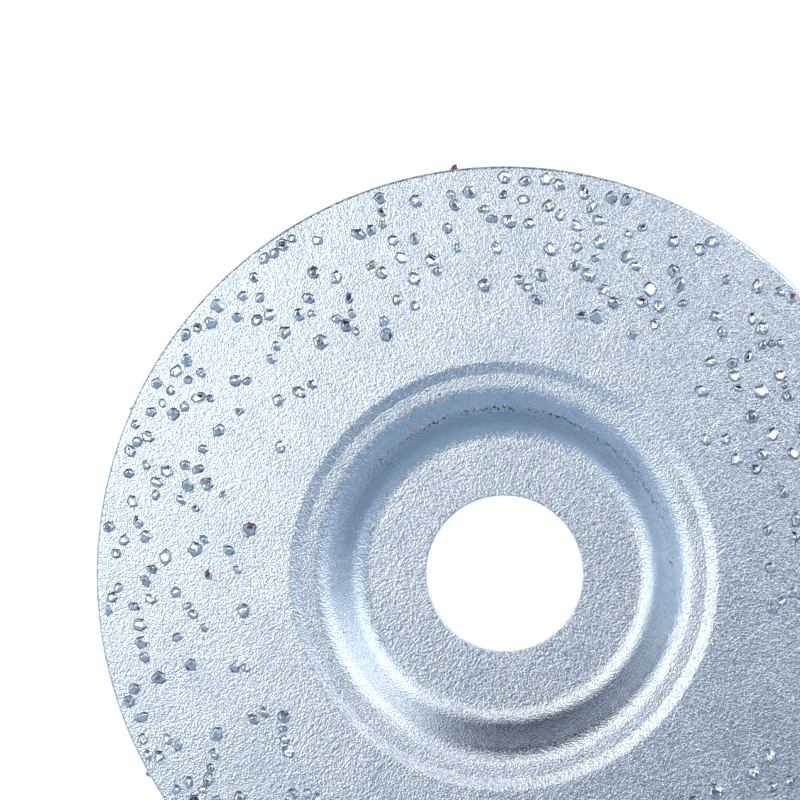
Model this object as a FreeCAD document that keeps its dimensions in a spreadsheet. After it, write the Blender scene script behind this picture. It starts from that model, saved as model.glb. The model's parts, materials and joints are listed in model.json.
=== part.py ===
import FreeCAD, Part
import math
import os
import random
import Sketcher

# A carving disc for an angle grinder: a pressed steel disc with a depressed centre, a coating over its
# working face, and carbide grains bonded to that face.
# Origin: the bore's axis, on the back of the hub, where the disc seats on the machine. +Z is the disc's
# axis, and the working face looks up. Millimetres and degrees.

SIZES = {
    "disc_radius": 57.75,
    "bore_radius": 11.115,
    "steel_thickness": 1.8,
    "coating_thickness": 0.2,
    "coating_setback": 0.4,
    "recess_depth": 4.6,
    "recess_fillet": 4.3,
    "wall_foot": 20.8,
    "wall_slope": 45,
    "roll_radius": 4.6,
    "ledge_slope": 4,
    "crease_radius": 28.6,
    "step_height": 0.45,
    "step_slope": 16,
    "step_round": 1.6,
    "step_back_round": 0.8,
    "crease_back_round": 1.5,
    "rim_round": 0.45,
    "sector_count": 24,
    "grain_radius_min": 0.55,
    "grain_radius_max": 1.25,
    "grain_height_min": 0.6,
    "grain_height_max": 1.4,
    "grain_gap": 0.03,
    "strewn_strings": 230,
    "inner_grain_radius": 34.0,
    "outer_grain_radius": 56.6,
    "rim_grain_radius": 0.75,
    "rim_grain_height": 0.7,
    "rim_grain_count": 9,
}

# Strings of grains laid by hand, each running from one place on the face to another:
# angle, radius, angle, radius and how many grains.
LAID_STRINGS = [
    (193, 52.0, 185, 52.3, 4), (196, 46.0, 191, 47.0, 2), (185, 56.2, 182, 54.6, 3),
    (184, 50.2, 181, 50.8, 2), (179, 49.8, 177, 47.9, 3), (190, 42.8, 183, 46.4, 6),
    (177, 55.1, 175, 54.1, 3), (174, 56.0, 172, 56.4, 1), (174, 51.0, 172, 52.3, 2),
    (169, 53.5, 163, 52.7, 2), (165, 55.0, 158, 56.4, 3), (160, 55.0, 159, 54.0, 2),
    (167, 50.4, 165, 51.0, 2), (163, 49.7, 161, 47.6, 2), (167, 47.0, 167, 47.0, 1),
    (164, 46.4, 161, 45.7, 3), (157, 46.0, 153, 45.3, 2), (175, 43.7, 173, 42.7, 2),
    (168, 44.5, 168, 44.5, 1), (163, 43.7, 164, 41.4, 3), (180, 41.8, 170, 36.4, 3),
    (188, 37.0, 179, 37.6, 2), (155, 55.0, 153, 54.0, 3), (154, 52.0, 152, 51.0, 3),
    (151, 56.0, 151, 53.8, 2), (150, 50.0, 148, 47.6, 4), (148, 54.5, 146, 54.0, 2),
    (148, 52.4, 146, 51.5, 2), (148, 43.8, 150, 36.5, 2), (144, 47.0, 143, 45.4, 3),
    (143, 56.4, 139, 54.6, 3), (137, 55.5, 136, 52.4, 3), (137, 44.8, 132, 46.3, 3),
    (133, 54.1, 131, 52.2, 3), (134, 50.2, 131, 48.8, 4), (131, 51.3, 130, 55.0, 2),
    (127, 55.9, 122, 56.2, 4), (125, 47.7, 122, 50.6, 2), (128, 46.6, 126, 45.9, 2),
    (128, 41.9, 127, 42.9, 2), (123, 43.2, 121, 40.2, 3), (142, 40.2, 142, 40.2, 1),
    (138, 38.9, 134, 37.9, 4), (119, 54.0, 119, 54.0, 1), (119, 48.3, 118, 48.3, 2),
    (119, 45.0, 120, 42.5, 2), (113, 52.2, 111, 52.3, 2), (108, 56.2, 109, 52.2, 3),
    (103, 54.8, 103, 53.6, 1), (108, 49.8, 105, 49.0, 2), (113, 47.6, 112, 46.0, 3),
    (108, 47.0, 107, 43.6, 2), (111, 41.8, 108, 39.8, 2), (115, 39.6, 116, 38.0, 2),
    (103, 45.7, 102, 43.8, 2), (99, 49.6, 98, 46.7, 2), (98, 54.2, 97, 51.3, 3),
    (95, 54.1, 93, 51.8, 3), (90, 56.2, 90, 53.6, 2), (92, 50.3, 86, 49.8, 3),
    (91, 46.8, 91, 45.6, 1), (94, 41.0, 92, 41.6, 3), (87, 53.0, 87, 55.8, 2),
    (84, 56.2, 82, 55.5, 3), (83, 52.5, 81, 51.4, 2), (82, 46.3, 83, 42.7, 2),
    (87, 42.0, 83, 39.4, 5), (78, 55.2, 75, 51.8, 5), (78, 50.3, 77, 44.9, 3),
    (74, 49.0, 74, 43.9, 3), (74, 55.6, 72, 55.7, 3), (71, 42.8, 68, 41.7, 3),
    (69, 48.3, 67, 47.2, 3), (70, 51.3, 68, 52.7, 3), (73, 38.3, 70, 38.8, 2),
    (63, 52.8, 61, 49.0, 2), (63, 45.4, 63, 43.3, 2), (62, 38.7, 61, 39.3, 2),
    (59, 53.4, 58, 56.4, 4), (59, 47.9, 57, 46.0, 3), (59, 41.4, 60, 43.6, 3),
    (53, 52.0, 49, 54.2, 2), (51, 47.2, 47, 45.5, 4), (46, 50.3, 44, 50.3, 2),
    (42, 48.7, 40, 50.8, 3), (46, 55.6, 44, 56.3, 2), (42, 46.4, 42, 46.4, 1),
    (43, 44.0, 41, 42.9, 3), (39, 42.3, 38, 42.0, 2), (46, 41.8, 43, 38.0, 2),
    (36, 47.9, 31, 47.0, 4), (36, 44.6, 34, 45.4, 2), (33, 41.3, 28, 42.5, 2),
    (34, 34.2, 33, 34.2, 2), (32, 36.8, 27, 36.4, 2), (25, 40.3, 23, 38.6, 2),
    (23, 44.2, 17, 41.2, 2), (11, 41.7, 8, 41.5, 2), (10, 37.7, 2, 37.7, 2),
    (-3, 40.4, -7, 38.0, 3),
]
# The rest of the face, past these two lines, is strewn by chance.
LAID_LIMIT_X = 41.5
LAID_LIMIT_Y = -13.0
# Two grains on the rim where they show most: angle and share of the full size.
LAID_RIM_GRAINS = [(97, 1.0), (156, 0.6)]

# A grain narrows to its shoulders and then to a slanted crown: shares of its height, of its width and
# of its height again. Here and below, a pair holds the least and the most that chance gives.
SHOULDER_HEIGHT = 0.3
SHOULDER_SPREAD = 0.95
CROWN_SPREAD = (0.6, 0.88)
CROWN_SLANT = (0.15, 0.6)

# A grain's outline: how many corners, how far each strays from even spacing, its reach as a share of
# the radius, and the outline's width as a share of its length.
GRAIN_CORNERS = (5, 7)
CORNER_SHIFT = 0.22
CORNER_REACH = (0.84, 1.0)
GRAIN_FLATNESS = (0.6, 1.0)

# How much taller or lower a grain is than its radius alone would make it.
GRAIN_TALLNESS = (0.75, 1.25)

# How far grains stray from their string, in millimetres, and what chance may strew as a string.
LAID_STRAY = 0.2
STREWN_STRAY = 0.3
STREWN_COUNTS = [1, 1, 2, 2, 2, 3, 3, 4]
STREWN_SPACING = 1.6

# The other rim grains: the arc they are strewn over in degrees, their share of the full size, and
# their drift along Z.
STREWN_RIM_ARC = (200, 385)
RIM_GRAIN_SHARE = (0.5, 0.8)
RIM_GRAIN_DRIFT = (-0.2, 0.1)

doc = FreeCAD.newDocument("carving_disc")
rng = random.Random(1150)


def make_sheet():
    sheet = doc.addObject("Spreadsheet::Sheet", "sizes")
    for row, (name, number) in enumerate(SIZES.items(), start=1):
        sheet.set(f"A{row}", name)
        sheet.set(f"B{row}", str(number))
        sheet.setAlias(f"B{row}", name)
    doc.recompute()
    return sheet


sheet = make_sheet()


def size(name):
    return float(sheet.get(name))


# Heights of the working face and where its wall ends, as expressions on the sheet.
WALL_TOP = "(sizes.wall_foot + sizes.recess_depth / tan(sizes.wall_slope * 1 deg))"
FLOOR = "(sizes.steel_thickness + sizes.coating_thickness)"
LEDGE = f"({FLOOR} + sizes.recess_depth)"
CREASE = f"({LEDGE} + (sizes.crease_radius - {WALL_TOP}) * tan(sizes.ledge_slope * 1 deg))"
FLANGE = f"({CREASE} + sizes.step_height)"
STEEL_TOP = "sizes.coating_thickness"
STEEL_MIDDLE = "(sizes.coating_thickness + sizes.steel_thickness / 2)"
STEEL_BACK = "(sizes.coating_thickness + sizes.steel_thickness)"


def deeper(corner, slope_before, slope_after, depth):
    """Where a corner of the working face comes to at a depth under it, between its two slopes."""
    across, up = corner
    middle = f"({slope_before} + {slope_after}) * 0.5 deg"
    half_turn = f"({slope_after} - {slope_before}) * 0.5 deg"
    return (
        f"{across} + {depth} * sin({middle}) / cos({half_turn})",
        f"{up} - {depth} * cos({middle}) / cos({half_turn})",
    )


def pressed_line(inner_radius, outer_radius, depth):
    """Corners of the pressed shape at a depth under the working face: radius and height expressions."""
    step_top = "(sizes.crease_radius + sizes.step_height / tan(sizes.step_slope * 1 deg))"
    return [
        (inner_radius, f"{FLOOR} - {depth}"),
        deeper(("sizes.wall_foot", FLOOR), "0", "sizes.wall_slope", depth),
        deeper((WALL_TOP, LEDGE), "sizes.wall_slope", "sizes.ledge_slope", depth),
        deeper(("sizes.crease_radius", CREASE), "sizes.ledge_slope", "sizes.step_slope", depth),
        deeper((step_top, FLANGE), "sizes.step_slope", "0", depth),
        (outer_radius, f"{FLANGE} - {depth}"),
    ]


def number(expression):
    """What an expression on the sheet comes to, in millimetres."""
    found = sheet.evalExpression(expression)
    return float(getattr(found, "Value", found))


def pin(sketch, kind, corner, expression):
    """Ties one corner of a sketch to its distance from the origin along one axis."""
    distance = number(expression)
    if abs(distance) < 1e-9:
        sketch.addConstraint(Sketcher.Constraint("PointOnObject", corner, 1, -1))
        return
    index = sketch.addConstraint(Sketcher.Constraint(kind, -1, 1, corner, 1, distance))
    sketch.setExpression(f"Constraints[{index}]", expression)


def revolved_body(name, corners):
    """A body turned about Z from a closed section of straight runs."""
    body = doc.addObject("PartDesign::Body", name)
    body.Label = name
    sketch = body.newObject("Sketcher::SketchObject", f"{name}_section")
    plane = next(f for f in body.Origin.OriginFeatures if f.Role == "XZ_Plane")
    sketch.AttachmentSupport = [(plane, "")]
    sketch.MapMode = "FlatFace"
    points = [FreeCAD.Vector(number(across), number(up), 0) for across, up in corners]
    last = len(points) - 1
    for here, point in enumerate(points):
        sketch.addGeometry(Part.LineSegment(point, points[0 if here == last else here + 1]), False)
    for here in range(len(points)):
        following = 0 if here == last else here + 1
        sketch.addConstraint(Sketcher.Constraint("Coincident", here, 2, following, 1))
    for here, (across, up) in enumerate(corners):
        pin(sketch, "DistanceX", here, across)
        pin(sketch, "DistanceY", here, up)
    turn = body.newObject("PartDesign::Revolution", f"{name}_turn")
    turn.Profile = sketch
    turn.ReferenceAxis = (sketch, ["V_Axis"])
    turn.Angle = 360
    sketch.Visibility = False
    doc.recompute()
    return body


def ring_edges(shape, corner):
    """Names of the circular edges that lie at a corner of the section."""
    across, up = (number(expression) for expression in corner)
    return [
        f"Edge{index}"
        for index, edge in enumerate(shape.Edges, start=1)
        if isinstance(edge.Curve, Part.Circle)
        and abs(edge.Curve.Radius - across) < 1e-4
        and abs(edge.Curve.Center.z - up) < 1e-4
    ]


def round_corner(body, corner, radius):
    """Rounds the edge at a corner of the section to a radius given as an expression."""
    base = body.Tip
    edges = ring_edges(base.Shape, corner)
    if not edges:
        raise RuntimeError(f"{body.Label}: no edge at {corner}")
    fillet = body.newObject("PartDesign::Fillet", f"{body.Name}_round")
    fillet.Base = (base, edges)
    fillet.setExpression("Radius", radius)
    doc.recompute()


def make_steel_disc():
    rim = "sizes.disc_radius - sizes.coating_thickness"
    top = pressed_line("sizes.bore_radius", rim, STEEL_TOP)
    back = pressed_line("sizes.bore_radius", rim, STEEL_BACK)
    body = revolved_body("steel_disc", top + back[::-1])
    round_corner(body, top[1], "sizes.recess_fillet + sizes.coating_thickness")
    round_corner(body, back[1], f"sizes.recess_fillet + {STEEL_BACK}")
    round_corner(body, top[2], "sizes.roll_radius - sizes.coating_thickness")
    round_corner(body, back[2], f"sizes.roll_radius - {STEEL_BACK}")
    round_corner(body, back[3], "sizes.crease_back_round")
    round_corner(body, top[4], "sizes.step_round - sizes.coating_thickness")
    round_corner(body, back[4], "sizes.step_back_round")
    round_corner(body, top[5], "sizes.rim_round - sizes.coating_thickness")
    round_corner(body, back[5], "sizes.rim_round - sizes.coating_thickness")
    return body


def make_face_coating(steel_disc):
    """The skin between the working face and the steel, over the rim and down to its lower rounding."""
    inner = "sizes.bore_radius + sizes.coating_setback"
    rim_inside = "sizes.disc_radius - sizes.coating_thickness - sizes.rim_round"
    lip = f"{FLANGE} - {STEEL_BACK} + sizes.rim_round"
    face = pressed_line(inner, "sizes.disc_radius", "0")
    within = pressed_line(inner, rim_inside, STEEL_MIDDLE)
    rim_edge = [("sizes.disc_radius", lip), (rim_inside, lip)]
    body = revolved_body("coating_blank", face + rim_edge + within[::-1])
    round_corner(body, face[1], "sizes.recess_fillet")
    round_corner(body, face[2], "sizes.roll_radius")
    round_corner(body, face[4], "sizes.step_round")
    round_corner(body, face[5], "sizes.rim_round")
    coating = doc.addObject("Part::Cut", "face_coating")
    coating.Label = "face_coating"
    coating.Base = body
    coating.Tool = steel_disc
    doc.recompute()
    return coating


def flat_face(points):
    return Part.Face(Part.makePolygon(points + points[:1]))


def grain_solid(radius, height):
    """One crushed grain: a flat foot at Z = 0 inside the radius, steep sides and a crown on a slant."""
    corner_count = rng.randint(*GRAIN_CORNERS)
    start = rng.uniform(0, 360)
    flatness = rng.uniform(*GRAIN_FLATNESS)
    slant = rng.uniform(*CROWN_SLANT)
    downhill = math.radians(rng.uniform(0, 360))
    foot, shoulder, crown = [], [], []
    for corner in range(corner_count):
        turn = math.radians(start + (corner + rng.uniform(-CORNER_SHIFT, CORNER_SHIFT)) * 360 / corner_count)
        reach = radius * rng.uniform(*CORNER_REACH)
        x, y = reach * math.cos(turn), reach * math.sin(turn) * flatness
        foot.append(FreeCAD.Vector(x, y, 0))
        shoulder.append(FreeCAD.Vector(x * SHOULDER_SPREAD, y * SHOULDER_SPREAD, SHOULDER_HEIGHT * height))
        spread = rng.uniform(*CROWN_SPREAD)
        fall = (x * math.cos(downhill) + y * math.sin(downhill)) * spread / (2 * CROWN_SPREAD[1] * radius)
        crown.append(FreeCAD.Vector(x * spread, y * spread, height * (1 - slant * (0.5 + fall))))
    faces = [flat_face(foot), flat_face(crown)]
    for here in range(corner_count):
        there = (here + 1) % corner_count
        faces.append(flat_face([foot[here], foot[there], shoulder[there], shoulder[here]]))
        faces.append(flat_face([shoulder[here], shoulder[there], crown[there]]))
        faces.append(flat_face([shoulder[here], crown[there], crown[here]]))
    grain = Part.Solid(Part.Shell(faces))
    grain.rotate(FreeCAD.Vector(0, 0, 0), FreeCAD.Vector(0, 0, 1), rng.uniform(0, 360))
    return grain


def string_places(string, spread):
    """Places along a string of grains, each moved a little by chance."""
    angle_from, radius_from, angle_to, radius_to, count = string
    for step in range(count):
        share = step / (count - 1) if count > 1 else 0.5
        angle = math.radians(angle_from + (angle_to - angle_from) * share)
        radius = radius_from + (radius_to - radius_from) * share
        x = radius * math.cos(angle) + rng.uniform(-spread, spread)
        y = radius * math.sin(angle) + rng.uniform(-spread, spread)
        yield x, y


def strewn_string():
    """A short string at a place by chance, more often near the rim than near the hub."""
    inner, outer = size("inner_grain_radius"), size("outer_grain_radius")
    angle = rng.uniform(0, 360)
    radius = inner + (outer - inner) * math.sqrt(rng.random())
    count = rng.choice(STREWN_COUNTS)
    reach = STREWN_SPACING * (count - 1)
    heading = math.radians(rng.uniform(0, 360))
    angle_to = angle + math.degrees(reach * math.cos(heading) / radius)
    radius_to = min(max(radius + reach * math.sin(heading), inner), outer)
    return angle, radius, angle_to, radius_to, count


def all_places():
    for string in LAID_STRINGS:
        yield from string_places(string, LAID_STRAY)
    for _ in range(int(size("strewn_strings"))):
        for x, y in string_places(strewn_string(), STREWN_STRAY):
            if x > LAID_LIMIT_X or y < LAID_LIMIT_Y:
                yield x, y


def lay_grains():
    """Each grain as its place and radius, shrunk where its neighbours leave less room, or left out."""
    grains = []
    for x, y in all_places():
        distance = math.hypot(x, y)
        if distance > size("outer_grain_radius"):
            x, y = (v * size("outer_grain_radius") / distance for v in (x, y))
        radius = rng.triangular(size("grain_radius_min"), size("grain_radius_max"))
        for other_x, other_y, other_radius in grains:
            room = math.hypot(x - other_x, y - other_y) - other_radius - size("grain_gap")
            radius = min(radius, room)
        if radius >= size("grain_radius_min"):
            grains.append((x, y, radius))
    return grains


def make_face_grains():
    """The grains on the face, in one group for each sector."""
    sector_count = int(size("sector_count"))
    lowest, highest = size("grain_height_min"), size("grain_height_max")
    sectors = [[] for _ in range(sector_count)]
    for x, y, radius in lay_grains():
        wanted = highest * rng.uniform(*GRAIN_TALLNESS) * radius / size("grain_radius_max")
        grain = grain_solid(radius, min(max(wanted, lowest), highest))
        grain.translate(FreeCAD.Vector(x, y, 0))
        angle = math.degrees(math.atan2(y, x)) % 360
        sectors[int(angle * sector_count / 360)].append(grain)
    for index, grains in enumerate(sectors, start=1):
        feature = doc.addObject("Part::Feature", f"grains_sector_{index:02d}")
        feature.Label = f"grains_sector_{index:02d}"
        feature.Shape = Part.Compound(grains)
        feature.setExpression("Placement.Base.z", FLANGE)
        yield feature


def make_rim_grains():
    """Small grains that stand out of the rim, as one group."""
    count = int(size("rim_grain_count"))
    start, end = STREWN_RIM_ARC
    places = list(LAID_RIM_GRAINS)
    for index in range(count):
        angle = start + (index + rng.uniform(0.1, 0.9)) * (end - start) / count
        places.append((angle, rng.uniform(*RIM_GRAIN_SHARE)))
    grains = []
    for angle, share in places:
        grain = grain_solid(size("rim_grain_radius") * share, size("rim_grain_height") * share)
        grain.rotate(FreeCAD.Vector(0, 0, 0), FreeCAD.Vector(0, 1, 0), 90)
        grain.translate(FreeCAD.Vector(size("disc_radius"), 0, rng.uniform(*RIM_GRAIN_DRIFT)))
        grain.rotate(FreeCAD.Vector(0, 0, 0), FreeCAD.Vector(0, 0, 1), angle)
        grains.append(grain)
    feature = doc.addObject("Part::Feature", "rim_grains")
    feature.Label = "rim_grains"
    feature.Shape = Part.Compound(grains)
    feature.setExpression("Placement.Base.z", f"{FLANGE} - {STEEL_BACK} / 2")
    return feature


def check(objects):
    for item in doc.Objects:
        if "Invalid" in item.State or "Error" in item.State:
            raise RuntimeError(f"{item.Name}: {item.State}")
    for item in objects:
        if item.Shape.isNull() or not item.Shape.isValid() or not item.Shape.Solids:
            raise RuntimeError(f"{item.Label}: shape isn't valid")


def main():
    steel_disc = make_steel_disc()
    nodes = [steel_disc, make_face_coating(steel_disc)]
    nodes += make_face_grains()
    nodes.append(make_rim_grains())
    doc.recompute()
    check(nodes)
    os.makedirs("parts", exist_ok=True)
    for node in nodes:
        node.Shape.exportStep(f"parts/{node.Label}.step")
        print(node.Label, len(node.Shape.Solids), "solids", round(node.Shape.Volume, 3), "mm3")


main()
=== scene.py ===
import json
import math
import random

import bmesh
import bpy
import numpy as np
from mathutils import Matrix, Vector, noise
from mathutils.kdtree import KDTree


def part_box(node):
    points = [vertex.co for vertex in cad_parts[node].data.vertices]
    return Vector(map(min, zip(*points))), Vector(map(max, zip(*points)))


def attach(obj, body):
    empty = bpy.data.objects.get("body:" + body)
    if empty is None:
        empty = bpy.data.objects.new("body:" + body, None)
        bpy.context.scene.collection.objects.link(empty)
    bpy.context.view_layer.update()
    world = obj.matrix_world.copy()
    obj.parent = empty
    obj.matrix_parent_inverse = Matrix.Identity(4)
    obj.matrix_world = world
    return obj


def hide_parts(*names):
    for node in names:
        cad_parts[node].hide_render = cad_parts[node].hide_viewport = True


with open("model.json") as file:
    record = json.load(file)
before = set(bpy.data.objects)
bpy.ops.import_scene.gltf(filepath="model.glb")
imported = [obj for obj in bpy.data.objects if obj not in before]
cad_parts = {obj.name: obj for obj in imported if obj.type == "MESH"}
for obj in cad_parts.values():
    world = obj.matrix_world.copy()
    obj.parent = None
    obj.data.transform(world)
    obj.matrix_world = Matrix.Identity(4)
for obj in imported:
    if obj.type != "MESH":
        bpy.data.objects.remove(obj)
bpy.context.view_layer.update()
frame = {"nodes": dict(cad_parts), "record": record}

# The looks of the carving disc: a pressed steel disc with a silver plated face and plated carbide grains.
# Shapes are worked out in millimetres and become metres when a mesh is made.
MM = 0.001
MOUNTS = {mount["name"]: mount for mount in frame["record"]["mounts"]}
GRAIN_NODES = sorted(name for name in frame["nodes"] if name.startswith("grains_sector_"))
UP = np.array((0.0, 0.0, 1.0))

# Driving sizes from the frame.
BORE = MOUNTS["arbor_bore"]["dims"]["r_mm"]
STEEL = MOUNTS["arbor_bore"]["dims"]["length_mm"]
FLOOR = MOUNTS["nut_seat"]["pos_m"][2] / MM
COATING = FLOOR - STEEL
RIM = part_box("face_coating")[1][0] / MM
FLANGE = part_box("face_coating")[1][2] / MM

# The pressed shape between the bore and the rim.
RECESS_DEPTH = 4.6
WALL_FOOT = 20.8
WALL_SLOPE = math.radians(45)
FOOT_ROUND = 4.3
ROLL_ROUND = 4.6
LEDGE_SLOPE = math.radians(4)
CREASE = 28.6
STEP_HEIGHT = 0.45
STEP_SLOPE = math.radians(16)
STEP_ROUND = 1.6
RIM_ROUND = 0.45
EDGE_ROUND = 0.15

# How high on the rim's side the coating ends and the steel begins.
LIP = FLANGE - COATING - STEEL + RIM_ROUND

# Under the face the crease is rounded by this share of the depth.
CREASE_EASE = 0.7

# A corner that turns by less than this, in radians, has no arc, and an arc has at least this many steps.
STRAIGHT_TURN = 1e-4
ARC_STEPS = 4

# How far apart points lie along the textured face, the hidden underside and the back, and how many parts
# and steps a part each of them has round the turn.
FACE_SPACING = 0.17
HIDDEN_SPACING = 2.0
BACK_SPACING = 0.48
RECESS_PARTS, RECESS_STEPS = 2, 450
FLANGE_PARTS, FLANGE_STEPS = 8, 265
BACK_STEPS = 600

# The recess and the flange are parted at the crease, with no underside point nearer to it than this.
CREASE_MARGIN = 0.1

# Edges sharper than this stay crisp in the shading.
SHARP_ANGLE = math.radians(62)

# The orange-peel texture of the plating: fine bumps on a broader swell.
PEEL_HEIGHT = 0.034
PEEL_SCALE = 0.32
SWELL_HEIGHT = 0.008
SWELL_SCALE = 0.8
SWELL_PLACE = Vector((31, 17, 5))

# The texture is weaker on the pressed wall, by how much, and stronger on the hub. It changes between these
# distances from the wall's foot and from the crease.
PEEL_LOSS = 0.75
PEEL_GAIN = 0.4
PEEL_FOOT = (-2.2, 0.6)
PEEL_TOP = (-4.6, -2.0)

# The ring of painted shade on the pressed wall, how dark it is, and the bearing of its middle. It fades
# from one distance to the other on that side of the axis. Painted shade darkens the hub inside it too.
SHADE_RING = (20.6, 25.0)
SHADE_DEPTH = 0.27
SHADE_ANGLE = 115
SHADE_SIDE = (0, 18)
HUB_SHADE_EDGE = (17.8, 19.6)
HUB_SHADE_DEPTH = 0.08

# The ring where the plating has cracked, the bearing of its middle, where on that side it fades, and how
# many more pits there are.
CRACK_RING = (22.9, 24.4)
CRACK_ANGLE = 72
CRACK_SIDE = (-2, 18)
CRACK_PITS = 0.2

# Round each grain the braze is drawn up into a fillet, which thins to a lip. It goes round the foot in even
# steps from a direction that no grain stands along.
SKIRT_HEIGHT = 0.14
SKIRT_WIDTH = 0.16
SKIRT_LIP = 0.02
SKIRT_WAYS = 10
SKIRT_START = (0.6, 0.8, 0.01)

# The grains: how much their corners wear, how round their edges are, how fine their mesh is, and how
# uneven they are over what scale. A foot's corners lie within a tolerance of its lowest point, and points of
# a CAD grain that are nearer to each other than a hair, in metres, are one.
GRAIN_WEAR = (0.94, 1.0)
GRAIN_EDGE = 0.09
GRAIN_MESH = 0.22
GRAIN_SPLITS = 3
GRAIN_UNEVEN = 0.055
UNEVEN_SCALE = 0.5
FOOT_TOLERANCE = 0.02
SAME_POINT = 1e-7

# Each crown is cut by a second facet: how far it leans in degrees and how deep it goes, as a share.
FACET_LEAN = (25, 60)
FACET_DEPTH = (0.15, 0.4)

# How many directions, spread evenly over a ball, round the grains' edges.
ROUND_WAYS = 24

# Painted shade in the crevice round each grain's foot: it darkens between the first two of these heights
# over the foot and clears between the other two.
CREVICE_SHADE = (0.04, 0.12, 0.2, 0.36)

# Grains whose plating has worn through in a spot: angle and distance on the face, and the spot's radius. The
# spot is where the grain reaches furthest up and a little to one side. It is the grain whose middle is this
# near to the place, and the plating is quite gone over a share of the spot's radius.
BARE_PLACES = [
    (170, 36.4, 0.6), (180, 41.8, 0.8), (44, 56.4, 0.6), (97, 58.1, 2.4),
    (251, 49.0, 0.7), (318, 44.5, 0.6), (284, 53.0, 0.8),
]
BARE_SIDE = np.array((0.0, 0.5, 0.0))
BARE_NEAR = 0.9
BARE_SHARE = 0.6

# Colours, each pair the darker and the lighter end of a cloudy surface.
FACE_COLOURS = ((0.66, 0.765, 0.885), (0.75, 0.85, 0.955))
PIT_COLOUR = (0.05, 0.06, 0.08)
# Painted shade on the pressed wall and the hub.
SHADE_COLOUR = (0.05, 0.08, 0.13)
RIM_COLOUR = (0.22, 0.28, 0.36)
GRAIN_COLOURS = ((0.74, 0.82, 0.9), (0.88, 0.93, 0.98))
BARE_COLOURS = ((0.15, 0.05, 0.06), (0.27, 0.06, 0.08))
# Painted shade in the crevices round the grains' feet.
CREVICE_SHADE_COLOUR = (0.16, 0.2, 0.26)
# The back's dull plating, darkened further as painted shade.
BACK_SHADED_COLOURS = ((0.42, 0.46, 0.52), (0.53, 0.57, 0.63))
FLOOR_COLOURS = ((0.9, 0.9, 0.91), (0.93, 0.93, 0.94))

# The rim's side is darker: from and to how far inside the rim its colour changes.
RIM_SIDE = (0.2, 0.03)

# Where the camera looks on the flange, how far off it is, how it leans, how much it takes in and how wide
# its sensor is.
AIM = (-14.57, 24.81)
CAMERA_DISTANCE = 500
CAMERA_LEAN_X = math.radians(3.4)
CAMERA_LEAN_Y = math.radians(0.8)
FIELD = 112.6
SENSOR = 36

# The sky that the metal mirrors is bright between the horizon and the zenith, away from the north:
# each way that it brightens, and between which shares of that way. The camera sees a plain backdrop.
SKY_WAYS = [((0, 0, 1), -0.4, 0.4), ((0, 0, -1), -1.04, -0.74), ((0, -0.9, 0.42), -0.35, 0.3)]
SKY_LOW = (0.02, 0.025, 0.035)
SKY_HIGH = (0.32, 0.415, 0.54)
BACKDROP = (0.9, 0.92, 0.95)

# Close to the horizon it is bright all round: how bright, and from where to where it fades.
GLOW = (0.7, 0.02, 0.12)

# The soft lights: name, bearing from +X towards +Y and elevation in degrees, distance, width and depth in
# metres, radiance and colour.
SOFTBOXES = [
    ("north_east", 34, 37, 0.36, 0.3, 0.37, 1.85, (1.0, 0.97, 0.93)),
    ("west", 184, 31, 1.2, 1.0, 1.1, 0.15, (1, 1, 1)),
    ("overhead", 160, 62, 0.35, 0.28, 0.24, 2.1, (1.0, 0.93, 0.85)),
]

# The floor: half its width and how far it lies under the disc, in metres, and its own light.
FLOOR_REACH = 3.0
FLOOR_GAP = 0.0002
FLOOR_LIGHT = 0.62


def smoothstep(low, high, value):
    """A share that rises smoothly from 0 at the low value to 1 at the high one."""
    share = np.clip((value - low) / (high - low), 0, 1)
    return share * share * (3 - 2 * share)


# ---------------------------------------------------------------- sections

def deeper(across, up, slope_before, slope_after, depth, rounding):
    """A corner of the working face at a depth under it, between its two slopes, with its rounding there."""
    middle = (slope_before + slope_after) / 2
    reach = depth / math.cos((slope_after - slope_before) / 2)
    return across + reach * math.sin(middle), up - reach * math.cos(middle), rounding


def pressed_line(inner, outer, depth):
    """Corners of the pressed shape at a depth under the working face: radius, height and rounding."""
    wall_top = WALL_FOOT + RECESS_DEPTH / math.tan(WALL_SLOPE)
    step_top = CREASE + STEP_HEIGHT / math.tan(STEP_SLOPE)
    ledge = FLOOR + RECESS_DEPTH
    return [
        (inner, FLOOR - depth, 0),
        deeper(WALL_FOOT, FLOOR, 0, WALL_SLOPE, depth, FOOT_ROUND + depth),
        deeper(wall_top, ledge, WALL_SLOPE, LEDGE_SLOPE, depth, ROLL_ROUND - depth),
        deeper(CREASE, FLANGE - STEP_HEIGHT, LEDGE_SLOPE, STEP_SLOPE, depth, depth * CREASE_EASE),
        deeper(step_top, FLANGE, STEP_SLOPE, 0, depth, abs(STEP_ROUND - depth)),
        (outer, FLANGE - depth, 0),
    ]


def rounded(corners, spacing):
    """Points along straight runs and the arcs between them, about a spacing apart."""
    points = [Vector(corners[0][:2])]
    for before, corner, after in zip(corners, corners[1:], corners[2:]):
        here = Vector(corner[:2])
        back = (Vector(before[:2]) - here).normalized()
        on = (Vector(after[:2]) - here).normalized()
        turn = math.pi - back.angle(on)
        if corner[2] == 0 or turn < STRAIGHT_TURN:
            points += run(points[-1], here, spacing)
            continue
        reach = corner[2] * math.tan(turn / 2)
        points += run(points[-1], here + back * reach, spacing)
        centre = here + (back + on).normalized() * corner[2] / math.cos(turn / 2)
        spoke = points[-1] - centre
        sign = 1 if spoke.x * on.y - spoke.y * on.x > 0 else -1
        steps = max(ARC_STEPS, math.ceil(corner[2] * turn / spacing))
        for step in range(1, steps + 1):
            points.append(centre + Matrix.Rotation(sign * turn * step / steps, 2) @ spoke)
    return points + run(points[-1], Vector(corners[-1][:2]), spacing)


def run(start, end, spacing):
    """Points after the start of a straight run, up to its end."""
    steps = max(1, round((end - start).length / spacing))
    return [start.lerp(end, step / steps) for step in range(1, steps + 1)]


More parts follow.
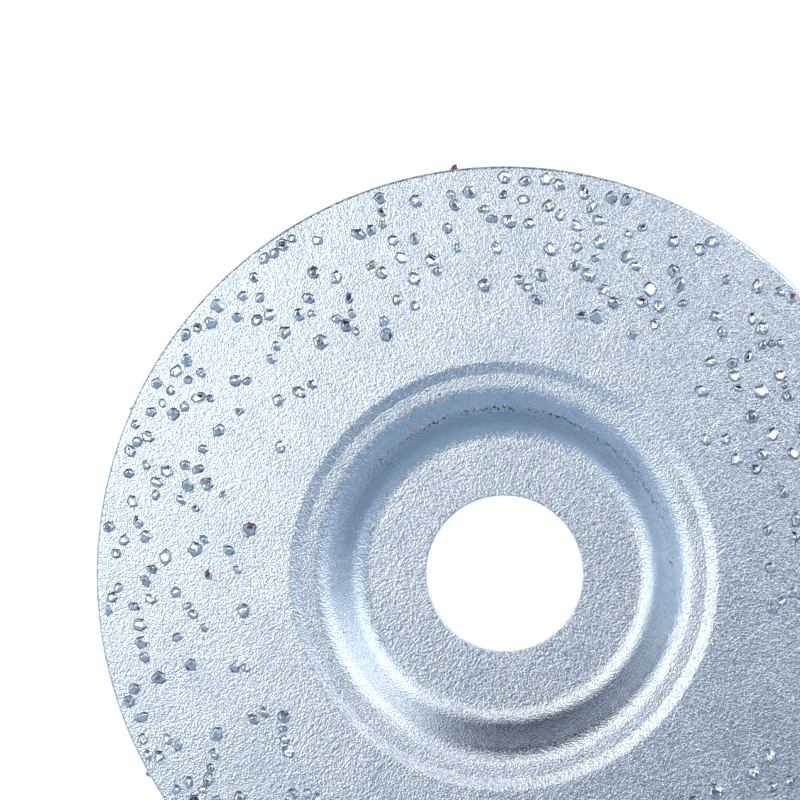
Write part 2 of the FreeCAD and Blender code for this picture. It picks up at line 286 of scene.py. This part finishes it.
def section_normals(points):
    """Outward directions along a section that runs away from the axis with the open side above it."""
    line = np.array(points)
    ahead = np.gradient(line, axis=0)
    out = np.stack([-ahead[:, 1], ahead[:, 0]], axis=1)
    return out / np.linalg.norm(out, axis=1)[:, None]


# ---------------------------------------------------------------- meshes

def mesh_piece(name, points, faces, node, material):
    """A piece from points in millimetres, which stands for a CAD node or part of one."""
    mesh = bpy.data.meshes.new(name)
    mesh.from_pydata((np.asarray(points) * MM).tolist(), [], faces)
    mesh.update()
    mesh.shade_smooth()
    mesh.set_sharp_from_angle(angle=SHARP_ANGLE)
    mesh.materials.append(material)
    piece = bpy.data.objects.new(name, mesh)
    bpy.context.collection.objects.link(piece)
    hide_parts(node)
    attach(piece, "root")
    return piece


def turned_grid(section, start, end, segments):
    """Points of a section turned from one angle to another, one row for each angle."""
    closed = math.isclose(end - start, 2 * math.pi)
    rows = segments if closed else segments + 1
    angles = start + (end - start) * np.arange(rows) / segments
    radius, height = section[:, 0], section[:, 1]
    x = np.outer(np.cos(angles), radius)
    y = np.outer(np.sin(angles), radius)
    z = np.tile(height, (rows, 1))
    return np.stack([x, y, z], axis=2), angles, closed


def grid_faces(rows, columns, closed):
    """Quads over a turned grid whose section is a closed loop, with flat ends where the turn isn't whole."""
    row = np.arange(rows if closed else rows - 1)
    column = np.arange(columns)
    row, column = np.meshgrid(row, column, indexing="ij")
    start = row * columns
    start_next = (row + 1) % rows * columns
    column_next = (column + 1) % columns
    corners = [start + column, start_next + column, start_next + column_next, start + column_next]
    faces = np.stack(corners, axis=2).reshape(-1, 4).tolist()
    if not closed:
        faces.append(list(range(columns)))
        faces.append(list(range(rows * columns - 1, (rows - 1) * columns - 1, -1)))
    return faces


def peel(points):
    """Height of the orange-peel texture at each point."""
    heights = np.empty(len(points))
    for index, point in enumerate(points):
        place = Vector(point)
        swell = noise.noise(place / SWELL_SCALE + SWELL_PLACE)
        heights[index] = PEEL_HEIGHT * noise.noise(place / PEEL_SCALE) + SWELL_HEIGHT * swell
    return heights


def peel_share(radius):
    """How strong the texture is: coarse on the hub, full on the flange, faint on the pressed wall."""
    foot = smoothstep(WALL_FOOT + PEEL_FOOT[0], WALL_FOOT + PEEL_FOOT[1], radius)
    top = 1 - smoothstep(CREASE + PEEL_TOP[0], CREASE + PEEL_TOP[1], radius)
    return (1 - PEEL_LOSS * foot * top) * (1 + PEEL_GAIN * (1 - foot))


def textured_turn(top, under, start, end, segments):
    """A closed turned shape: the textured top section, then the plain points under it back to its start."""
    section = np.array([tuple(p) for p in top + under])
    grid, angles, closed = turned_grid(section, start, end, segments)
    normals = section_normals(top)
    count = len(top)
    flat = grid[:, :count].reshape(-1, 3)
    radius = np.linalg.norm(flat[:, :2], axis=1)
    height = peel(flat) * peel_share(radius)
    ends = np.ones(count)
    ends[0] = ends[-1] = 0
    shift = height.reshape(len(grid), count) * ends
    grid[:, :count, 0] += shift * normals[:, 0] * np.cos(angles)[:, None]
    grid[:, :count, 1] += shift * normals[:, 0] * np.sin(angles)[:, None]
    grid[:, :count, 2] += shift * normals[:, 1]
    return grid.reshape(-1, 3), grid_faces(len(grid), len(section), closed)


# ---------------------------------------------------------------- grains

def cad_grains(node):
    """The separate grains of a CAD node, each as an array of its corners in millimetres."""
    mesh = bmesh.new()
    mesh.from_mesh(frame["nodes"][node].data)
    bmesh.ops.remove_doubles(mesh, verts=mesh.verts, dist=SAME_POINT)
    left = set(mesh.verts)
    grains = []
    while left:
        reached = [left.pop()]
        for vert in reached:
            for edge in vert.link_edges:
                other = edge.other_vert(vert)
                if other in left:
                    left.remove(other)
                    reached.append(other)
        grains.append(np.array(sorted(v.co[:] for v in reached)) / MM)
    mesh.free()
    return sorted(grains, key=lambda grain: tuple(grain.mean(axis=0)))


def add_hull(mesh, points):
    """Adds the convex hull of the points to a mesh under construction."""
    verts = [mesh.verts.new(point) for point in points]
    made = bmesh.ops.convex_hull(mesh, input=verts)
    inside = set(made["geom_interior"] + made["geom_unused"])
    bmesh.ops.delete(mesh, geom=[vert for vert in verts if vert in inside], context="VERTS")


def clipped(points, way, reach):
    """Hull points of what's left when all that lies beyond a reach along a way is cut off."""
    heights = [point @ way for point in points]
    kept = [(point, height) for point, height in zip(points, heights) if height <= reach]
    lost = [(point, height) for point, height in zip(points, heights) if height > reach]
    cut = [a + (b - a) * (reach - low) / (high - low) for a, low in kept for b, high in lost]
    return [point for point, _ in kept] + cut


def foot_corners(corners, up):
    """The corners of a grain that stand on the disc."""
    heights = corners @ up
    return corners[heights < heights.min() + FOOT_TOLERANCE]


def worn_corners(corners, up, rng):
    """A grain's hull points above its foot: worn unevenly, with one more facet cut across the crown."""
    heights = corners @ up
    centre = corners.mean(axis=0)
    points = [centre + (corner - centre) * rng.uniform(*GRAIN_WEAR) for corner in corners]
    lean = math.radians(rng.uniform(*FACET_LEAN))
    bearing = rng.uniform(0, 2 * math.pi)
    across = np.array((math.cos(bearing), math.sin(bearing), 0.0))
    way = up * math.cos(lean) + across * math.sin(lean)
    reaches = [point @ way for point in points]
    depth = rng.uniform(*FACET_DEPTH) * np.ptp(heights)
    return clipped(points, way, max(reaches) - depth)


def ball_ways():
    """Directions spread evenly over a ball."""
    ways = []
    for step in range(ROUND_WAYS):
        rise = 1 - (2 * step + 1) / ROUND_WAYS
        turn = step * math.pi * (3 - math.sqrt(5))
        flat = math.sqrt(1 - rise * rise)
        ways.append(np.array((flat * math.cos(turn), flat * math.sin(turn), rise)))
    return ways


def rounded_hull(mesh, points, foot, up):
    """Adds a grain's hull with rounded edges, its foot sunk through the braze."""
    ways = ball_ways()
    centre = np.mean(points, axis=0)
    around = []
    for point in points:
        inward = centre - point
        seat = point + inward * GRAIN_EDGE / max(np.linalg.norm(inward), GRAIN_EDGE)
        around += [seat + GRAIN_EDGE * way for way in ways]
    add_hull(mesh, around + [corner - COATING * up for corner in foot])


def grain_skirt(foot, up):
    """The braze that stands round a grain's foot, as hull points."""
    side = np.cross(up, SKIRT_START)
    side /= np.linalg.norm(side)
    other = np.cross(up, side)
    points = []
    for corner in foot:
        points.append(corner + SKIRT_HEIGHT * up)
        for turn in range(SKIRT_WAYS):
            angle = turn * 2 * math.pi / SKIRT_WAYS
            out = side * math.cos(angle) + other * math.sin(angle)
            points.append(corner + SKIRT_WIDTH * out + SKIRT_LIP * up)
            points.append(corner + SKIRT_WIDTH * out - COATING * up)
    return points


def refine(mesh):
    """Splits every edge that is long for the grains' mesh, so that shading follows the facets."""
    for _ in range(GRAIN_SPLITS):
        long_edges = [edge for edge in mesh.edges if edge.calc_length() > GRAIN_MESH]
        bmesh.ops.subdivide_edges(mesh, edges=long_edges, cuts=1, use_grid_fill=True)
        bmesh.ops.triangulate(mesh, faces=mesh.faces)


def roughen(mesh):
    """Moves points a little along their normals, so that a grain's facets aren't even."""
    mesh.normal_update()
    for vert in mesh.verts:
        vert.co += GRAIN_UNEVEN * noise.noise(vert.co / UNEVEN_SCALE) * vert.normal


def piece_points(piece):
    """The points of a piece's mesh in millimetres."""
    points = np.empty(len(piece.data.vertices) * 3)
    piece.data.vertices.foreach_get("co", points)
    return points.reshape(-1, 3) / MM


def mark(piece, name, values):
    """Writes a number for each point of a piece, which its material reads by name."""
    layer = piece.data.attributes.new(name, "FLOAT", "POINT")
    layer.data.foreach_set("value", values.astype(np.float32))


def spot_radius(centre):
    """The radius of the bare spot on the grain at a place, or None where it has none."""
    for angle, distance, radius in BARE_PLACES:
        turn = math.radians(angle)
        x, y = distance * math.cos(turn), distance * math.sin(turn)
        if math.hypot(centre[0] - x, centre[1] - y) <= BARE_NEAR:
            return radius
    return None


def mark_bare_spots(piece, grains, up):
    """Writes how bare of plating each point is: a few grains have a bare spot."""
    points = piece_points(piece)
    bare = np.zeros(len(points))
    for grain, way in zip(grains, up):
        centre = grain.mean(axis=0)
        radius = spot_radius(centre)
        if radius is None:
            continue
        reach = np.linalg.norm(grain - centre, axis=1).max()
        near = points[np.linalg.norm(points - centre, axis=1) < reach]
        spot = near[np.argmax(near @ (way + BARE_SIDE))]
        away = np.linalg.norm(points - spot, axis=1)
        bare = np.maximum(bare, 1 - smoothstep(BARE_SHARE * radius, radius, away))
    mark(piece, "bare", bare)


def mark_crevice_shade(piece, grains, up):
    """Writes how much painted shade each point gets in the crevice round its grain's foot."""
    points = piece_points(piece)
    centres = KDTree(len(grains))
    for index, grain in enumerate(grains):
        centres.insert(grain.mean(axis=0), index)
    centres.balance()
    nearest = [centres.find(point)[1] for point in points]
    ways = np.array(up)[nearest]
    feet = np.array([(grain @ way).min() for grain, way in zip(grains, up)])[nearest]
    height = (points * ways).sum(axis=1) - feet
    edge, dark, still_dark, clear = CREVICE_SHADE
    mark(piece, "crevice", smoothstep(edge, dark, height) * (1 - smoothstep(still_dark, clear, height)))


def make_grains(node, grains, up, material):
    """A node's grains with the braze round their feet. Up holds each grain's own way out of the disc."""
    rng = random.Random(node)
    mesh = bmesh.new()
    for grain, way in zip(grains, up):
        foot = foot_corners(grain, way)
        rounded_hull(mesh, worn_corners(grain, way, rng), foot, way)
        add_hull(mesh, grain_skirt(foot, way))
    bmesh.ops.triangulate(mesh, faces=mesh.faces)
    refine(mesh)
    roughen(mesh)
    mesh.verts.index_update()
    points = [vert.co[:] for vert in mesh.verts]
    faces = [[vert.index for vert in face.verts] for face in mesh.faces]
    mesh.free()
    piece = mesh_piece(node + "_plated", points, faces, node, material)
    mark_bare_spots(piece, grains, up)
    mark_crevice_shade(piece, grains, up)


# ---------------------------------------------------------------- the disc

def make_coating(material):
    """The plated face: the recess and the flange, parted at the crease, each in equal parts."""
    under = steel_top()
    under_recess = [point for point in under if point.x < CREASE - CREASE_MARGIN]
    under_flange = [point for point in under if point.x > CREASE + CREASE_MARGIN]
    under_crease = Vector((CREASE, FLANGE - STEP_HEIGHT - COATING))
    face = pressed_line(BORE, RIM, 0)
    recess = [(BORE, FLOOR - COATING, 0), (BORE, FLOOR, EDGE_ROUND)] + face[1:4]
    flange = face[3:5] + [(RIM, FLANGE, RIM_ROUND), (RIM, LIP, 0)]
    recess_under = [under_crease] + under_recess[:0:-1]
    flange_under = [Vector((RIM - COATING, LIP))] + under_flange[::-1] + [under_crease]
    make_parts("coating_recess", recess, recess_under, RECESS_PARTS, RECESS_STEPS, material)
    make_parts("coating_flange", flange, flange_under, FLANGE_PARTS, FLANGE_STEPS, material)


def steel_top():
    """Points along the top of the steel, which the coating hides."""
    return rounded(pressed_line(BORE, RIM - COATING, COATING), HIDDEN_SPACING)


def make_parts(name, corners, under, count, steps, material):
    """Parts of a textured ring, each an equal share of the turn, from the corners of its face."""
    top = rounded(corners, FACE_SPACING)
    turn = 2 * math.pi / count
    for part in range(count):
        points, faces = textured_turn(top, under, part * turn, (part + 1) * turn, steps)
        mesh_piece(f"{name}_{part + 1}", points, faces, "face_coating", material)


def make_steel(material):
    """The pressed steel: its back, its bore and the lower half of its rim."""
    back = pressed_line(BORE, RIM, COATING + STEEL)
    outline = [(BORE, FLOOR - COATING, 0), (BORE, 0, EDGE_ROUND)] + back[1:5]
    outline += [(RIM, FLANGE - COATING - STEEL, RIM_ROUND), (RIM, LIP, 0)]
    seen = rounded(outline, BACK_SPACING)[::-1]
    hidden = steel_top()[1:] + [Vector((RIM - COATING, LIP))]
    points, faces = textured_turn(seen, hidden, 0, 2 * math.pi, BACK_STEPS)
    mesh_piece("steel_back", points, faces, "steel_disc", material)


# ---------------------------------------------------------------- materials

def new_material(name):
    """A material, its node tree and its shader."""
    material = bpy.data.materials.new(name)
    material.use_nodes = True
    tree = material.node_tree
    return material, tree, tree.nodes["Principled BSDF"]


def place_node(tree):
    """Where each point is on the disc, in metres."""
    return tree.nodes.new("ShaderNodeTexCoord").outputs["Object"]


def noise_node(tree, place, feature_mm, detail):
    """A noise texture whose features are about this many millimetres across."""
    texture = tree.nodes.new("ShaderNodeTexNoise")
    texture.inputs["Scale"].default_value = 1 / (feature_mm * MM)
    texture.inputs["Detail"].default_value = detail
    tree.links.new(place, texture.inputs["Vector"])
    return texture.outputs["Fac"]


def ranged(tree, value, low, high, start=0.3, end=0.7):
    """A value brought from between start and end to between low and high."""
    node = tree.nodes.new("ShaderNodeMapRange")
    for name, number in (("From Min", start), ("From Max", end), ("To Min", low), ("To Max", high)):
        node.inputs[name].default_value = number
    tree.links.new(value, node.inputs["Value"])
    return node.outputs["Result"]


def mixed(tree, share, first, second):
    """A colour between two, each a colour or another node's output."""
    node = tree.nodes.new("ShaderNodeMix")
    node.data_type = "RGBA"
    tree.links.new(share, node.inputs["Factor"])
    for socket, colour in (("A", first), ("B", second)):
        target = next(s for s in node.inputs if s.name == socket and s.type == "RGBA")
        if isinstance(colour, tuple):
            target.default_value = (*colour, 1)
        else:
            tree.links.new(colour, target)
    return next(s for s in node.outputs if s.type == "RGBA")


def bumped(tree, shader, height, distance_mm, strength):
    """Gives a shader fine relief from a height between 0 and 1."""
    node = tree.nodes.new("ShaderNodeBump")
    node.inputs["Distance"].default_value = distance_mm * MM
    node.inputs["Strength"].default_value = strength
    tree.links.new(height, node.inputs["Height"])
    tree.links.new(node.outputs["Normal"], shader.inputs["Normal"])


def axis_distance(tree, place):
    """How far each point is from the disc's axis, in metres."""
    flat = tree.nodes.new("ShaderNodeVectorMath")
    flat.operation = "MULTIPLY"
    flat.inputs[1].default_value = (1, 1, 0)
    tree.links.new(place, flat.inputs[0])
    length = tree.nodes.new("ShaderNodeVectorMath")
    length.operation = "LENGTH"
    tree.links.new(flat.outputs["Vector"], length.inputs[0])
    return length.outputs["Value"]


def ring_share(tree, place, inner, outer):
    """How far each point is inside a ring round the axis: 1 in the middle of it, 0 outside."""
    radius = axis_distance(tree, place)
    middle = (inner + outer) / 2 * MM
    rising = ranged(tree, radius, 0, 1, inner * MM, middle)
    falling = ranged(tree, radius, 1, 0, middle, outer * MM)
    return combined(tree, "MINIMUM", rising, falling)


def combined(tree, operation, first, second):
    """Two values put together; the second may be a plain number."""
    node = tree.nodes.new("ShaderNodeMath")
    node.operation = operation
    tree.links.new(first, node.inputs[0])
    if isinstance(second, (int, float)):
        node.inputs[1].default_value = second
    else:
        tree.links.new(second, node.inputs[1])
    return node.outputs["Value"]


def side_ring(tree, place, ring, bearing, side):
    """How far each point is inside a ring, and to one side of the axis in millimetres."""
    way = tree.nodes.new("ShaderNodeVectorMath")
    way.operation = "DOT_PRODUCT"
    turn = math.radians(bearing)
    way.inputs[1].default_value = (math.cos(turn), math.sin(turn), 0)
    tree.links.new(place, way.inputs[0])
    fading = ranged(tree, way.outputs["Value"], 0, 1, side[0] * MM, side[1] * MM)
    return combined(tree, "MULTIPLY", ring_share(tree, place, *ring), fading)


def plated_face():
    """Bright silver plating, cool and cloudy in tone, finely grained, pitted, with painted shade on the
    pressed wall and the hub, and duller round the rim.
    """
    material, tree, shader = new_material("plated_face")
    place = place_node(tree)
    clouds = ranged(tree, noise_node(tree, place, feature_mm=6, detail=4), low=0, high=1)
    colour = mixed(tree, clouds, *FACE_COLOURS)
    colour = mixed(tree, pit_share(tree, place), colour, PIT_COLOUR)
    radius = axis_distance(tree, place)
    # Painted shade darkens the wall on one side, and the hub.
    colour = mixed(tree, shade_share(tree, place, radius), colour, SHADE_COLOUR)
    side = ranged(tree, radius, 0, 1, (RIM - RIM_SIDE[0]) * MM, (RIM - RIM_SIDE[1]) * MM)
    tree.links.new(mixed(tree, side, colour, RIM_COLOUR), shader.inputs["Base Color"])
    shader.inputs["Metallic"].default_value = 1
    roughness = ranged(tree, noise_node(tree, place, feature_mm=1.1, detail=4), low=0.17, high=0.27)
    tree.links.new(roughness, shader.inputs["Roughness"])
    grain = noise_node(tree, place, feature_mm=0.24, detail=2)
    bumped(tree, shader, grain, distance_mm=0.105, strength=1.0)
    return material


def pit_share(tree, place):
    """Where the plating has dark pits: here and there, and mostly where it has cracked."""
    ring = side_ring(tree, place, CRACK_RING, CRACK_ANGLE, CRACK_SIDE)
    cracked = combined(tree, "MULTIPLY", ring, CRACK_PITS)
    speckle = combined(tree, "ADD", noise_node(tree, place, feature_mm=0.3, detail=1), cracked)
    return ranged(tree, speckle, low=0, high=1, start=0.74, end=0.78)


def shade_share(tree, place, radius):
    """How much painted shade darkens the plating on the wall and the hub."""
    ring = side_ring(tree, place, SHADE_RING, SHADE_ANGLE, SHADE_SIDE)
    wall = combined(tree, "MULTIPLY", ring, SHADE_DEPTH)
    hub = ranged(tree, radius, HUB_SHADE_DEPTH, 0, HUB_SHADE_EDGE[0] * MM, HUB_SHADE_EDGE[1] * MM)
    return combined(tree, "ADD", wall, hub)


def plated_grain():
    """Glossy plating over the grains, with painted shade in the crevices and dull red carbide in the few
    bare spots.
    """
    material, tree, shader = new_material("plated_grain")
    place = place_node(tree)
    bare = marked(tree, "bare")
    clouds = ranged(tree, noise_node(tree, place, feature_mm=0.9, detail=3), low=0, high=1)
    plating = mixed(tree, clouds, *GRAIN_COLOURS)
    carbide = mixed(tree, clouds, *BARE_COLOURS)
    # Painted shade round the grains' feet, broken up by noise.
    broken = noise_node(tree, place, feature_mm=0.8, detail=1)
    broken = ranged(tree, broken, low=0.25, high=1, start=0.42, end=0.58)
    crevice_shade_share = combined(tree, "MULTIPLY", marked(tree, "crevice"), broken)
    shaded_plating = mixed(tree, crevice_shade_share, plating, CREVICE_SHADE_COLOUR)
    tree.links.new(mixed(tree, bare, shaded_plating, carbide), shader.inputs["Base Color"])
    metallic = ranged(tree, bare, low=1, high=0.25, start=0, end=1)
    tree.links.new(metallic, shader.inputs["Metallic"])
    roughness = ranged(tree, noise_node(tree, place, feature_mm=0.6, detail=3), low=0.12, high=0.26)
    tree.links.new(roughness, shader.inputs["Roughness"])
    grain = noise_node(tree, place, feature_mm=0.12, detail=2)
    bumped(tree, shader, grain, distance_mm=0.01, strength=0.4)
    return material


def marked(tree, name):
    """The number that a piece's points carry under a name."""
    node = tree.nodes.new("ShaderNodeAttribute")
    node.attribute_name = name
    return node.outputs["Fac"]


def plated_back():
    """Thin dull plating on the back of the steel, darkened further as painted shade, with the fine grain of
    the rolled sheet.
    """
    material, tree, shader = new_material("plated_back")
    place = place_node(tree)
    clouds = ranged(tree, noise_node(tree, place, feature_mm=8, detail=4), low=0, high=1)
    tree.links.new(mixed(tree, clouds, *BACK_SHADED_COLOURS), shader.inputs["Base Color"])
    shader.inputs["Metallic"].default_value = 1
    roughness = ranged(tree, noise_node(tree, place, feature_mm=1.4, detail=4), low=0.32, high=0.46)
    tree.links.new(roughness, shader.inputs["Roughness"])
    grain = noise_node(tree, place, feature_mm=0.25, detail=3)
    bumped(tree, shader, grain, distance_mm=0.02, strength=0.5)
    return material


def pale_floor():
    """A plain white floor that shines a little by itself, so that it stays white."""
    material, tree, shader = new_material("pale_floor")
    clouds = noise_node(tree, place_node(tree), feature_mm=300, detail=2)
    tree.links.new(mixed(tree, clouds, *FLOOR_COLOURS), shader.inputs["Base Color"])
    shader.inputs["Roughness"].default_value = 0.7
    shader.inputs["Emission Color"].default_value = (1, 1, 1, 1)
    shader.inputs["Emission Strength"].default_value = FLOOR_LIGHT
    return material


# ---------------------------------------------------------------- studio

def make_camera():
    """A camera nearly straight above the disc, with a long lens."""
    data = bpy.data.cameras.new("camera")
    data.sensor_width = SENSOR
    data.lens = SENSOR * CAMERA_DISTANCE / FIELD
    data.clip_start = 0.01
    data.clip_end = 20
    camera = bpy.data.objects.new("camera", data)
    bpy.context.collection.objects.link(camera)
    aim = Vector((*AIM, FLANGE))
    off = Vector((math.tan(CAMERA_LEAN_X), math.tan(CAMERA_LEAN_Y), 1)) * CAMERA_DISTANCE
    camera.location = (aim + off) * MM
    look = -off.normalized()
    side = look.cross(Vector((0, 1, 0))).normalized()
    camera.rotation_euler = Matrix((side, side.cross(look), -look)).transposed().to_euler()
    bpy.context.scene.camera = camera


def softbox(name, bearing, elevation, distance, width, depth, radiance, colour):
    """A soft light that faces the disc from a bearing in degrees, counted from +X towards +Y."""
    data = bpy.data.lights.new(name, "AREA")
    data.shape = "RECTANGLE"
    data.size = width
    data.size_y = depth
    data.energy = radiance * math.pi * width * depth
    data.color = colour
    light = bpy.data.objects.new(name, data)
    bpy.context.collection.objects.link(light)
    turn, rise = math.radians(bearing), math.radians(elevation)
    way = Vector((math.cos(turn) * math.cos(rise), math.sin(turn) * math.cos(rise), math.sin(rise)))
    light.location = way * distance
    light.rotation_euler = way.to_track_quat("Z", "Y").to_euler()
    light.visible_camera = False


def studio_sky():
    """A cool sky, dim at the zenith and dark to the north, with a pale backdrop in front of it."""
    world = bpy.data.worlds.new("studio")
    world.use_nodes = True
    tree = world.node_tree
    look = tree.nodes.new("ShaderNodeTexCoord").outputs["Generated"]
    share = None
    for way, start, end in SKY_WAYS:
        height = tree.nodes.new("ShaderNodeVectorMath")
        height.operation = "DOT_PRODUCT"
        height.inputs[1].default_value = way
        tree.links.new(look, height.inputs[0])
        rise = ranged(tree, height.outputs["Value"], low=0, high=1, start=start, end=end)
        share = combined(tree, "MINIMUM", share, rise) if share else rise
    level = tree.nodes.new("ShaderNodeSeparateXYZ")
    tree.links.new(look, level.inputs["Vector"])
    bright, fading, gone = GLOW
    glow = ranged(tree, level.outputs["Z"], low=bright, high=0, start=fading, end=gone)
    share = combined(tree, "MAXIMUM", glow, share)
    seen = tree.nodes.new("ShaderNodeLightPath").outputs["Is Camera Ray"]
    sky = mixed(tree, seen, mixed(tree, share, SKY_LOW, SKY_HIGH), BACKDROP)
    tree.links.new(sky, tree.nodes["Background"].inputs["Color"])
    bpy.context.scene.world = world


def make_floor():
    """A square floor just under the disc."""
    mesh = bpy.data.meshes.new("floor")
    corners = [(x * FLOOR_REACH, y * FLOOR_REACH, 0) for x, y in ((-1, -1), (1, -1), (1, 1), (-1, 1))]
    mesh.from_pydata(corners, [], [(0, 1, 2, 3)])
    floor = bpy.data.objects.new("floor", mesh)
    bpy.context.collection.objects.link(floor)
    floor.location.z = -FLOOR_GAP
    mesh.materials.append(pale_floor())


def make_studio():
    """The camera, the sky, the lights and the floor."""
    make_camera()
    studio_sky()
    for settings in SOFTBOXES:
        softbox(*settings)
    make_floor()
    bpy.context.scene.view_settings.view_transform = "Standard"


def make_all_grains():
    """The plated grains of the face, one piece for each CAD node, and those of the rim."""
    material = plated_grain()
    for node in GRAIN_NODES:
        grains = cad_grains(node)
        make_grains(node, grains, [UP] * len(grains), material)
    rim_grains = cad_grains("rim_grains")
    outward = [grain.mean(axis=0) * (1, 1, 0) for grain in rim_grains]
    make_grains("rim_grains", rim_grains, [way / np.linalg.norm(way) for way in outward], material)


def main():
    make_studio()
    make_all_grains()
    make_coating(plated_face())
    make_steel(plated_back())


main()
